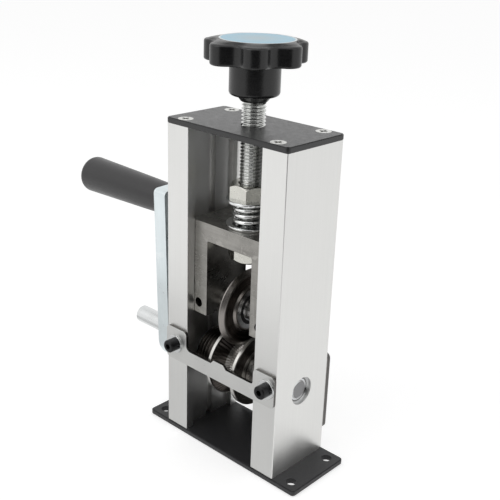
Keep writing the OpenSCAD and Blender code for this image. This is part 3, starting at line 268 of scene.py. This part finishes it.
FINISH = {
    "extrusion": surface(
        "extruded_aluminium", "#dddddb", rough=0.36, vary=0.03, mottle=30.0,
        grain=(1800.0, 1800.0, 14.0), grain_depth=0.000012, rough_vary=0.07,
    ),
    "black_coat": surface(
        "black_powder_coat", "#262628", rough=0.5, metallic=0.0, vary=0.2, mottle=400.0,
        grain=(2600.0,) * 3, grain_depth=0.00006, rough_vary=0.1, wear=0.25,
    ),
    "top_coat": surface(
        "black_top_coat", "#232324", rough=0.33, metallic=0.0, vary=0.2, mottle=300.0,
        grain=(2200.0,) * 3, grain_depth=0.00003, rough_vary=0.08, wear=0.3, specular=0.55,
    ),
    "bright_screw": surface(
        "bright_screw", "#d6d6d2", rough=0.27, vary=0.1, mottle=500.0, grain=(3000.0,) * 3,
    ),
    "guide_sheet": surface(
        "stainless_sheet", "#d2d2d0", rough=0.34, vary=0.05, mottle=60.0,
        grain=(25.0, 2600.0, 2600.0), grain_depth=0.000015, rough_vary=0.08, scratch=0.12,
        dark_cuts=("Y", "#5c5a58"),
    ),
    "black_oxide": surface(
        "black_oxide_steel", "#1b1b1d", rough=0.34, metallic=0.6, vary=0.25, mottle=900.0,
        grain=(4000.0,) * 3, rough_vary=0.1, wear=0.5,
    ),
    "bright_washer": surface(
        "bright_washer", "#d9dada", rough=0.16, vary=0.06, mottle=400.0, lathe=ON_ROD,
        grain=TURNED, grain_depth=0.000006, rough_vary=0.06,
    ),
    "bearing_steel": surface(
        "bearing_steel", "#cfd0d2", rough=0.16, vary=0.05, mottle=300.0, lathe=ON_SHAFT,
        grain=TURNED, grain_depth=0.000006, rough_vary=0.06,
    ),
    "bearing_shield": surface(
        "bearing_shield", "#8f8f8d", rough=0.3, vary=0.1, mottle=500.0, lathe=ON_SHAFT,
        grain=TURNED, grain_depth=0.00001,
    ),
    "bearing_seal": surface(
        "bearing_seal", "#19191a", rough=0.5, metallic=0.0, vary=0.2, mottle=900.0,
        grain=(3500.0,) * 3,
    ),
    "shaft_steel": surface(
        "ground_shaft", "#dadcdc", rough=0.3, vary=0.05, mottle=120.0, lathe=ON_SHAFT,
        grain=TURNED, grain_depth=0.00001, rough_vary=0.08, dark_ends=("X", "#8f8f90"),
    ),
    "turned_steel": surface(
        "turned_steel", "#a9a7a4", rough=0.3, vary=0.1, mottle=300.0, lathe=ON_SHAFT,
        grain=TURNED,
    ),
    "zinc_arm": surface(
        "zinc_plated_arm", "#dfe7e9", rough=0.36, vary=0.07, mottle=70.0,
        grain=(600.0, 600.0, 60.0), rough_vary=0.1, scratch=0.15,
    ),
    "grip_plastic": surface(
        "grip_plastic", "#2e2d2e", rough=0.36, metallic=0.0, vary=0.12, mottle=80.0,
        grain=(1500.0,) * 3, rough_vary=0.08,
    ),
    "grip_fixings": surface(
        "grip_fixings", "#8f9092", rough=0.3, vary=0.12, mottle=500.0, lathe=ON_GRIP,
        grain=TURNED, grain_depth=0.00001,
    ),
    "milled_steel": surface(
        "milled_steel", "#8f8d89", rough=0.34, vary=0.16, mottle=110.0,
        grain=(80.0, 900.0, 1500.0), grain_depth=0.00004, rough_vary=0.14, scratch=0.35,
        wear=0.35,
    ),
    "thread_steel": surface(
        "thread_steel", "#cfd0ce", rough=0.18, vary=0.06, mottle=250.0, lathe=ON_ROD,
        grain=(5000.0, 5000.0, 1.0), grain_depth=0.00001, rough_vary=0.07,
    ),
    "nut_steel": surface(
        "nickel_plated_nut", "#cdccc5", rough=0.24, vary=0.08, mottle=240.0,
        grain=(900.0, 900.0, 4000.0), grain_depth=0.00001, rough_vary=0.08, scratch=0.1,
    ),
    "spring_steel": surface(
        "plated_spring", "#dcdddc", rough=0.12, vary=0.05, mottle=350.0,
        grain=(1500.0, 1500.0, 6000.0), grain_depth=0.000006, rough_vary=0.05,
    ),
    "insert_brass": surface(
        "turned_brass", "#b99a56", rough=0.25, vary=0.08, mottle=300.0, lathe=ON_ROD,
        grain=TURNED, grain_depth=0.00001,
    ),
}


def toothed_steel(name, code, land_code, land_span, hub_code, hub_span, centre):
    """Dark hardened steel in three zones by radius in metres: a hub, the body and bright lands.
    Each span says from where to where one zone passes into the next."""
    t = Tree(name)
    dark, bright, hub = linear(code), linear(land_code), linear(hub_code)
    coords, radius = t.lathe("X", centre)
    fine = t.noise(t.stretched(TURNED, coords), detail=3.0)
    broad = t.noise(t.stretched((220.0,) * 3), detail=5.0, roughness=0.65)
    body = t.mix(t.ramp(broad, WIDE), scaled(dark, 0.6), scaled(dark, 1.5))
    body = t.mix(t.ramp(fine, (0.45, 0.65), 0.0, 0.5), body, scaled(dark, 2.2))
    hub_tone = t.mix(t.ramp(fine, HIGH), scaled(hub, 0.75), scaled(hub, 1.1))
    land = t.mix(t.ramp(fine, HIGH), scaled(bright, 0.82), bright)
    body = t.mix(t.ramp(radius, hub_span), hub_tone, body)
    color = t.mix(t.ramp(radius, land_span), body, land)
    return t.finished(color, t.ramp(fine, WIDE, 0.2, 0.4), t.bump(fine, 0.000015), metallic=1.0)


FINISH["roller_steel"] = toothed_steel(
    "hardened_roller", "#423e3b", land_code="#d4d2ce", land_span=(0.0192, 0.0197),
    hub_code="#a9a6a2", hub_span=(0.0129, 0.0130), centre=ON_SHAFT[1],
)
# The cutter's hub zone is lighter than its body: a painted highlight for the light that its boss
# catches.
FINISH["cutter_steel"] = toothed_steel(
    "tempered_cutter", "#57504b", land_code="#9b9692", land_span=(0.0181, 0.01825),
    hub_code="#8a8580", hub_span=(0.0132, 0.0133), centre=ON_AXLE[1],
)


def gloss_plastic():
    """Black moulded plastic with the soft waves of the mould."""
    t = Tree("gloss_knob")
    waves = t.noise(t.stretched((260.0,) * 3), detail=3.0)
    speck = t.noise(t.stretched((3500.0,) * 3), detail=2.0)
    color = t.mix(t.ramp(waves, WIDE), linear("#101011"), linear("#161617"))
    return t.finished(color, t.ramp(speck, WIDE, 0.24, 0.34), t.bump(waves, 0.00006), specular=0.45)


def printed_label():
    """A plain blue field, greyer towards its middle, with a whitish rim."""
    low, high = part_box("knob_label")
    edge = (high.x - low.x) / 2
    t = Tree("printed_label")
    radius = t.lathe("Z", tuple((low + high) / 2))[1]
    paper = t.noise(t.stretched((1800.0,) * 3))
    color = t.mix(t.ramp(radius, (0.002, 0.0155)), linear("#9db6c0"), linear("#86bcd3"))
    color = t.mix(t.ramp(radius, (edge - 0.001, edge - 0.0008)), color, linear("#d3dde0"))
    color = t.mix(t.ramp(paper, (0.4, 0.7), 0.0, 0.12), color, linear("#d5e2e6"))
    return t.finished(color, t.ramp(paper, WIDE, 0.28, 0.4), t.bump(paper, 0.00001))


FINISH["knob_plastic"] = gloss_plastic()
FINISH["label"] = printed_label()

for part in frame["record"]["subparts"]:
    shown = NODES[part["node"]]
    shown.data.materials.clear()
    shown.data.materials.append(FINISH[part["material_slot"]])

# How far the sharp edges of CAD nodes are rounded, in metres, so that they catch the light
SOFT_EDGES = {
    "left_upright": 0.00022, "right_upright": 0.00022,
    "base_plate": 0.00012, "top_plate": 0.00012,
    "front_guide": 0.0003, "rear_guide": 0.0003,
    "crank_arm": 0.0005, "yoke": 0.00035,
    "upper_nut": 0.00025, "lower_nut": 0.00025,
    "guide_screws": 0.00018, "rear_guide_screws": 0.00018,
    "guide_lock_washers": 0.00012, "guide_washers": 0.00012,
    "upper_spring_seat": 0.00018, "lower_spring_seat": 0.00018,
    "cutting_wheel": 0.00008,
}
WELD_DISTANCE = 0.000002
SHARP_ANGLE = math.radians(35)
FACE_WEIGHT = 80

for name, width in SOFT_EDGES.items():
    node = NODES[name]
    weld = node.modifiers.new("weld", "WELD")
    weld.merge_threshold = WELD_DISTANCE
    bevel = node.modifiers.new("bevel", "BEVEL")
    bevel.width = width
    bevel.segments = 2
    bevel.limit_method = "ANGLE"
    bevel.angle_limit = SHARP_ANGLE
    bevel.use_clamp_overlap = True
    bevel.harden_normals = False
    normals = node.modifiers.new("normals", "WEIGHTED_NORMAL")
    normals.weight = FACE_WEIGHT
    normals.keep_sharp = False


def mesh_object(name, points, faces, slot_name, body):
    """A new smooth piece from points in metres, riding on a body."""
    data = bpy.data.meshes.new(name)
    data.from_pydata(points, [], faces)
    data.validate()
    data.update()
    made = bpy.data.objects.new(name, data)
    bpy.context.scene.collection.objects.link(made)
    data.polygons.foreach_set("use_smooth", [True] * len(data.polygons))
    data.materials.append(FINISH[slot_name])
    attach(made, body)
    return made


def strip_faces(rows, count):
    """Quads between closed rows of count points."""
    faces = []
    for k in range(rows - 1):
        for i in range(count):
            j = (i + 1) % count
            faces.append((k * count + i, k * count + j, (k + 1) * count + j, (k + 1) * count + i))
    return faces


# The thread's rounded form: half widths of its flat crest and root as shares of the pitch, its
# clearance, crown and root rounding, and the rod's radius at its chamfered ends, in millimetres
CREST_SHARE, ROOT_SHARE = 0.07, 0.1
CREST_GAP, ROOT_RISE = 0.02, 0.05
END_R = ROD_R - THREAD_DEPTH - 0.25


def thread_radius(share):
    """Radius of the thread at a share of its pitch, in millimetres."""
    root, crest = ROD_R - THREAD_DEPTH, ROD_R - CREST_GAP
    distance = abs(share % 1.0 - 0.5)
    if distance < CREST_SHARE:
        return crest - CREST_GAP * (distance / CREST_SHARE) ** 2
    if distance > 0.5 - ROOT_SHARE:
        return root + ROOT_RISE * (0.5 - distance) / ROOT_SHARE
    t = (distance - CREST_SHARE) / (0.5 - ROOT_SHARE - CREST_SHARE)
    return (crest - CREST_GAP) + (root + ROOT_RISE - crest + CREST_GAP) * t


def threaded_rod(name, low, high, slot_name, body):
    """A rod with a true right hand helical thread, chamfered at both ends."""
    around, shares = 56, [0.0, 0.1, 0.22, 0.34, 0.44, 0.5, 0.56, 0.66, 0.78, 0.9]
    turns = int((high - low) / PITCH) + 3
    samples = [(t + s) * PITCH for t in range(-1, turns) for s in shares]
    points, count = [], len(samples)
    for i in range(around + 1):
        angle = 2 * math.pi * i / around
        for z in samples:
            height = min(max(low + z + PITCH * i / around, low), high)
            end = min(height - low, high - height)
            r = min(thread_radius(z / PITCH), END_R + end)
            points.append((r * math.cos(angle) * MM, r * math.sin(angle) * MM, height * MM))
    faces = []
    for i in range(around):
        for k in range(count - 1):
            a = i * count + k
            quad = (a, a + count, a + count + 1, a + 1)
            if len({points[q][2] for q in quad}) > 1:
                faces.append(quad)
    for z in (low, high):
        base = len(points)
        for i in range(around):
            angle = 2 * math.pi * i / around
            points.append((END_R * math.cos(angle) * MM, END_R * math.sin(angle) * MM, z * MM))
        ring = list(range(base, base + around))
        faces.append(ring if z == high else ring[::-1])
    return mesh_object(name, points, faces, slot_name, body)


rod_low, rod_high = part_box("lift_screw")
rod = threaded_rod("threaded_lift_screw", rod_low.z / MM, rod_high.z / MM, "thread_steel", "screw")
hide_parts("lift_screw")


def tube_along(name, path, radius, slot_name, body, sides=14):
    """A round tube along points in millimetres, closed at both ends."""
    points, rows = [], len(path)
    up = Vector((0, 0, 1))
    for k, p in enumerate(path):
        before = path[max(k - 1, 0)]
        after = path[min(k + 1, rows - 1)]
        along = (after - before).normalized()
        side = up.cross(along).normalized()
        over = along.cross(side)
        for i in range(sides):
            a = 2 * math.pi * i / sides
            points.append((p + radius * (math.cos(a) * side + math.sin(a) * over)) * MM)
    faces = strip_faces(rows, sides)
    faces.append(tuple(range(sides))[::-1])
    faces.append(tuple(range((rows - 1) * sides, rows * sides)))
    return mesh_object(name, points, faces, slot_name, body)


def between(x, table):
    """Straight reading between the rows of a table of (x, y) pairs, flat past its end."""
    for (x0, y0), (x1, y1) in zip(table, table[1:]):
        if x <= x1:
            return y0 + (y1 - y0) * (x - x0) / (x1 - x0)
    return table[-1][1]


def coil(low_z, high_z, radius):
    """The wire's centre line, in millimetres. Its ends are closed and lie flat on the two seats,
    and in the middle the photograph gives the height of each turn."""
    first, last, start_angle, steps = -0.12, 3.12, math.radians(130), 40
    end_rise = 0.12
    heights = [
        (first, low_z), (0.1, low_z + end_rise), (0.506, 129.1), (1.506, 132.4), (2.506, 135.4),
        (2.95, high_z - end_rise), (last, high_z),
    ]
    line = []
    turn = first
    while turn <= last:
        z = sum(between(turn + d, heights) for d in (-0.1, -0.05, 0.0, 0.05, 0.1)) / 5
        angle = start_angle + turn * 2 * math.pi
        line.append(Vector((radius * math.cos(angle), radius * math.sin(angle), z)))
        turn += 1 / steps
    return line


# The spring's wire and outer radius in millimetres, and the share of its length when pressed
WIRE_R, SPRING_R, PRESSED_SHARE = 1.025, 9.2, 0.82
spring_low, spring_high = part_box("spring")
spring_line = coil(spring_low.z / MM + WIRE_R, spring_high.z / MM - WIRE_R, SPRING_R - WIRE_R)
spring = tube_along("coil_spring", spring_line, WIRE_R, "spring_steel", "lift")
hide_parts("spring")
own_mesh(spring)

# Knob, in millimetres: a lobed rim, a turned hub and a collar in one moulding. The first four
# lines are as in the CAD source.
LOBES, KNOB_R, LOBE_R, VALLEY_DEPTH, LOBE_AT = 7, 25.0, 6.5, 4.6, -47.7
RIM_ROUND, KNOB_RISE, RIM_H = 1.2, 1.2, 9.8
HUB_R, HUB_H, HUB_ROUND = 12.3, 15.4, 2.0
COLLAR_R, NECK_R, COLLAR_H = 6.7, 8.6, 2.8
BORE_R, COLLAR_CHAMFER, RIM_FILLET = 6.05, 0.3, 0.7
CROWN_POWER, SEAT_LIP, SEAT_GAP, LIP_DROP, SEAT_DEPTH = 1.6, 0.25, 0.05, 0.06, 0.4
LOBE_C = KNOB_R - LOBE_R
HALF_PITCH = math.pi / LOBES
FLOOR_R = KNOB_R - VALLEY_DEPTH
LOBE_REACH = LOBE_C * math.cos(HALF_PITCH)
# The valley's circle touches the floor radius and the two lobes beside it
VALLEY_R = (LOBE_R**2 - FLOOR_R**2 - LOBE_C**2 + 2 * FLOOR_R * LOBE_REACH) / (
    2 * (FLOOR_R - LOBE_REACH - LOBE_R)
)
VALLEY_C = FLOOR_R + VALLEY_R


def lobe_radius(angle, inset):
    """Radius of the rim's outline at an angle in radians, less an inset: lobes joined by
    valleys."""
    share = (LOBE_R - inset) / (LOBE_R + VALLEY_R)
    meet = math.atan2(
        share * VALLEY_C * math.sin(HALF_PITCH),
        LOBE_C + share * (VALLEY_C * math.cos(HALF_PITCH) - LOBE_C),
    )
    turned = angle - math.radians(LOBE_AT)
    f = abs(turned - 2 * HALF_PITCH * round(turned / (2 * HALF_PITCH)))
    g = HALF_PITCH - f
    if f < meet:
        reach = math.sqrt((LOBE_R - inset) ** 2 - (LOBE_C * math.sin(f)) ** 2)
        return LOBE_C * math.cos(f) + reach
    reach = math.sqrt((VALLEY_R + inset) ** 2 - (VALLEY_C * math.sin(g)) ** 2)
    return VALLEY_C * math.cos(g) - reach


def knob_rings(low_z, high_z):
    """The knob's outline from its bore up to the label's seat, as (kind, value, height) rings. A
    round ring's value is its radius, a lobed one's is its inset, a rise's is its share of the way
    from the rim to the seat, and a seat's is its distance outside the label."""
    rim_z = low_z + COLLAR_H + HUB_H
    rim_top = rim_z + RIM_H
    steps = 8
    quarter = [math.pi / 2 * i / steps for i in range(steps + 1)]
    rings = [
        ("round", BORE_R, low_z),
        ("round", COLLAR_R - COLLAR_CHAMFER, low_z),
        ("round", COLLAR_R, low_z + COLLAR_CHAMFER),
        ("round", NECK_R, low_z + COLLAR_H),
    ]
    for a in quarter:
        r = HUB_R - HUB_ROUND * (1 - math.sin(a))
        rings.append(("round", r, low_z + COLLAR_H + HUB_ROUND * (1 - math.cos(a))))
    for a in quarter:
        r = HUB_R + RIM_FILLET * (1 - math.cos(a))
        rings.append(("round", r, rim_z - RIM_FILLET * (1 - math.sin(a))))
    for a in quarter:
        inset = RIM_ROUND * (1 - math.sin(a))
        rings.append(("lobe", inset, rim_z + RIM_ROUND * (1 - math.cos(a))))
    for a in quarter:
        inset = RIM_ROUND * (1 - math.cos(a))
        rings.append(("lobe", inset, rim_top - RIM_ROUND * (1 - math.sin(a))))
    for share in (0.25, 0.5, 0.75):
        rings.append(("rise", share, rim_top + KNOB_RISE * (1 - (1 - share) ** CROWN_POWER)))
    rings.append(("seat", SEAT_LIP, high_z))
    rings.append(("seat", 0.0, high_z - LIP_DROP))
    rings.append(("seat", 0.0, high_z - SEAT_DEPTH))
    return rings


def knob_mesh():
    """The whole knob, closed under its label."""
    knob_low, knob_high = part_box("knob")
    label_low, label_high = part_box("knob_label")
    seat_x, seat_y = ((label_low[i] + label_high[i]) / 2 / MM for i in (0, 1))
    seat_r = (label_high.x - label_low.x) / 2 / MM + SEAT_GAP
    rings = knob_rings(knob_low.z / MM, knob_high.z / MM)
    n = LOBES * 44
    points = []
    for kind, value, z in rings:
        for i in range(n):
            a = 2 * math.pi * i / n
            if kind == "round":
                x, y = value * math.cos(a), value * math.sin(a)
            elif kind == "lobe":
                rim = lobe_radius(a, min(value, RIM_ROUND))
                x, y = rim * math.cos(a), rim * math.sin(a)
            else:
                rim = lobe_radius(a, RIM_ROUND)
                r = seat_r + (value if kind == "seat" else SEAT_LIP)
                share = value if kind == "rise" else 1.0
                x = (1 - share) * rim * math.cos(a) + share * (seat_x + r * math.cos(a))
                y = (1 - share) * rim * math.sin(a) + share * (seat_y + r * math.sin(a))
            points.append((x * MM, y * MM, z * MM))
    faces = strip_faces(len(rings), n)
    top = (len(rings) - 1) * n
    faces.append(tuple(range(top, top + n)))
    return mesh_object("moulded_knob", points, faces, "knob_plastic", "screw")


knob = knob_mesh()
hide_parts("knob")

# White floor that keeps the object's shadow: part of its white is its own glow, which only the
# camera, reflections and clear pieces see
FLOOR_Z, FLOOR_SIZE, FLOOR_GREY, FLOOR_GLOW = -0.0003, 6.0, 0.56, 0.62
data = bpy.data.meshes.new("floor")
corners = ((-1, -1), (1, -1), (1, 1), (-1, 1))
data.from_pydata([(x * FLOOR_SIZE, y * FLOOR_SIZE, FLOOR_Z) for x, y in corners], [], [(0, 1, 2, 3)])
floor = bpy.data.objects.new("floor", data)
bpy.context.scene.collection.objects.link(floor)
sweep = Tree("white_floor")
sweep.shader.inputs["Base Color"].default_value = (FLOOR_GREY, FLOOR_GREY, FLOOR_GREY, 1)
sweep.shader.inputs["Roughness"].default_value = 0.9
sweep.shader.inputs["Specular IOR Level"].default_value = 0.0
seen = sweep.add("ShaderNodeLightPath")
glow = sweep.add("ShaderNodeEmission")
glow.inputs["Color"].default_value = (1, 1, 1, 1)
visible = sweep.math("MAXIMUM", seen.outputs["Is Camera Ray"], seen.outputs["Is Glossy Ray"])
visible = sweep.math("MAXIMUM", visible, seen.outputs["Is Transmission Ray"])
sweep.link(sweep.math("MULTIPLY", visible, FLOOR_GLOW), glow.inputs["Strength"])
both = sweep.add("ShaderNodeAddShader")
sweep.link(sweep.shader.outputs[0], both.inputs[0])
sweep.link(glow.outputs[0], both.inputs[1])
sweep.link(both.outputs[0], sweep.output.inputs["Surface"])
data.materials.append(sweep.material)

# Pale room: white to the camera and to reflections, a plain soft level to matt surfaces
WHITE_LEVEL, SOFT_LEVEL = 1.0, 0.62
world = bpy.data.worlds.new("room")
bpy.context.scene.world = world
world.use_nodes = True
tree = world.node_tree
tree.nodes.clear()
out = tree.nodes.new("ShaderNodeOutputWorld")
path = tree.nodes.new("ShaderNodeLightPath")
levels = []
for level in (SOFT_LEVEL, WHITE_LEVEL):
    background = tree.nodes.new("ShaderNodeBackground")
    background.inputs["Color"].default_value = (1, 1, 1, 1)
    background.inputs["Strength"].default_value = level
    levels.append(background)
first = tree.nodes.new("ShaderNodeMath")
second = tree.nodes.new("ShaderNodeMath")
first.operation = second.operation = "MAXIMUM"
choose = tree.nodes.new("ShaderNodeMixShader")
for source, target in (
    (path.outputs["Is Camera Ray"], first.inputs[0]),
    (path.outputs["Is Glossy Ray"], first.inputs[1]),
    (first.outputs[0], second.inputs[0]),
    (path.outputs["Is Transmission Ray"], second.inputs[1]),
    (second.outputs[0], choose.inputs[0]),
    (levels[0].outputs[0], choose.inputs[1]),
    (levels[1].outputs[0], choose.inputs[2]),
    (choose.outputs[0], out.inputs["Surface"]),
):
    tree.links.new(source, target)

CENTRE = Vector((-0.01, 0.0, 0.1))


def lamp(name, azimuth, elevation, distance, width, height, watts):
    """A rectangular soft lamp that faces the object."""
    light = bpy.data.lights.new(name, "AREA")
    light.shape = "RECTANGLE"
    light.size, light.size_y = width, height
    light.energy = watts
    made = bpy.data.objects.new(name, light)
    bpy.context.scene.collection.objects.link(made)
    a, e = math.radians(azimuth), math.radians(elevation)
    away = Vector((math.sin(a) * math.cos(e), -math.cos(a) * math.cos(e), math.sin(e)))
    made.location = CENTRE + away * distance
    made.rotation_mode = "QUATERNION"
    made.rotation_quaternion = away.to_track_quat("Z", "Y")


lamp("key", azimuth=-20, elevation=38, distance=1.1, width=0.7, height=0.7, watts=2.2)
lamp("fill", azimuth=95, elevation=25, distance=1.3, width=0.6, height=0.9, watts=0.6)
lamp("top", azimuth=30, elevation=80, distance=1.2, width=0.8, height=0.8, watts=1.5)


def card(name, corners, level):
    """A grey or dark card with four corners in millimetres that only reflections see. Away from the
    object it stands for the darker parts of the room, as polished metal in a studio shows them; in
    the frame's rear opening and on the floor just in front of the object it is painted shade."""
    mesh = bpy.data.meshes.new(name)
    mesh.from_pydata([Vector(c) * MM for c in corners], [], [(0, 1, 2, 3)])
    made = bpy.data.objects.new(name, mesh)
    bpy.context.scene.collection.objects.link(made)
    t = Tree(name)
    glow = t.add("ShaderNodeEmission")
    glow.inputs["Color"].default_value = (level, level, level, 1)
    t.link(glow.outputs[0], t.output.inputs["Surface"])
    mesh.materials.append(t.material)
    made.visible_camera = False
    made.visible_diffuse = False
    made.visible_shadow = False
    made.visible_transmission = False


upright_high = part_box("left_upright")[1]
inner_x = -upright_high.x / MM


def back_shade_card(name, left, right, level):
    """A dark card that closes part of the frame's rear opening, from one x to another: painted
    shade, so that the frame's inside reflects dark.
    """
    y = upright_high.y / MM - 0.1
    low, top = 4, upright_high.z / MM
    card(name, [(left, y, low), (right, y, low), (right, y, top), (left, y, top)], level)


def front_card(name, low, top, level):
    """A card that stands upright where the photograph's camera is, facing the object."""
    azimuth, distance, width = math.radians(42), 420, 600
    middle = Vector((math.sin(azimuth), -math.cos(azimuth), 0.0)) * distance
    side = Vector((math.cos(azimuth), math.sin(azimuth), 0.0)) * width / 2
    ends = (middle - side, middle + side)
    heights = ((0, low), (1, low), (1, top), (0, top))
    card(name, [ends[i] + Vector((0, 0, z)) for i, z in heights], level)


BACK_START, BACK_SPLIT = -19.5, -5.0
FOOT_TOP, ROOM_TOP = 15, 350
# Painted shade: two dark cards in the frame's rear opening, so that the channels and the frame's
# inside reflect dark as if shaded.
back_shade_card("painted_shade_back_left", BACK_START, BACK_SPLIT, 0.01)
back_shade_card("painted_shade_back_right", BACK_SPLIT, inner_x, 0.2)
front_card("dark_room_front", FOOT_TOP, ROOM_TOP, 0.03)
front_card("dark_room_foot", 0, FOOT_TOP, 0.35)
# Painted shade: a grey card lying on the floor just in front of the object, which the lower faces of
# the frame reflect as the floor's shade.
card("painted_floor_shade", [(-190, -150, 1), (40, -150, 1), (40, -22, 1), (-190, -22, 1)], 0.72)

# Camera solved from the photograph: angles in degrees, lengths in millimetres
AZIMUTH, ELEVATION, ROLL, DISTANCE = 42.2885, 21.5492, 1.9821, 436.506
FOCAL_PIXELS, FRAME_PIXELS, SENSOR = 843.62, 500.0, 36.0
OFFSET_RIGHT, OFFSET_DOWN = -1.18054, 20.75327
TARGET = Vector((0.0, 0.0, 89.5))
az, el, roll = (math.radians(v) for v in (AZIMUTH, ELEVATION, ROLL))
back = Vector((math.sin(az) * math.cos(el), -math.cos(az) * math.cos(el), math.sin(el)))
right = Vector((math.cos(az), math.sin(az), 0.0))
down = -back.cross(right)
turned_right = math.cos(roll) * right - math.sin(roll) * down
turned_down = math.sin(roll) * right + math.cos(roll) * down
place = TARGET + back * DISTANCE - turned_right * OFFSET_RIGHT - turned_down * OFFSET_DOWN
camera_data = bpy.data.cameras.new("camera")
camera_data.sensor_width = SENSOR
camera_data.lens = FOCAL_PIXELS / FRAME_PIXELS * SENSOR
camera_data.clip_start, camera_data.clip_end = 0.01, 50.0
camera = bpy.data.objects.new("camera", camera_data)
bpy.context.scene.collection.objects.link(camera)
axes = Matrix((turned_right, -turned_down, back)).transposed().to_4x4()
camera.matrix_world = Matrix.Translation(place * MM) @ axes
bpy.context.scene.camera = camera
bpy.context.scene.view_settings.view_transform = "Standard"
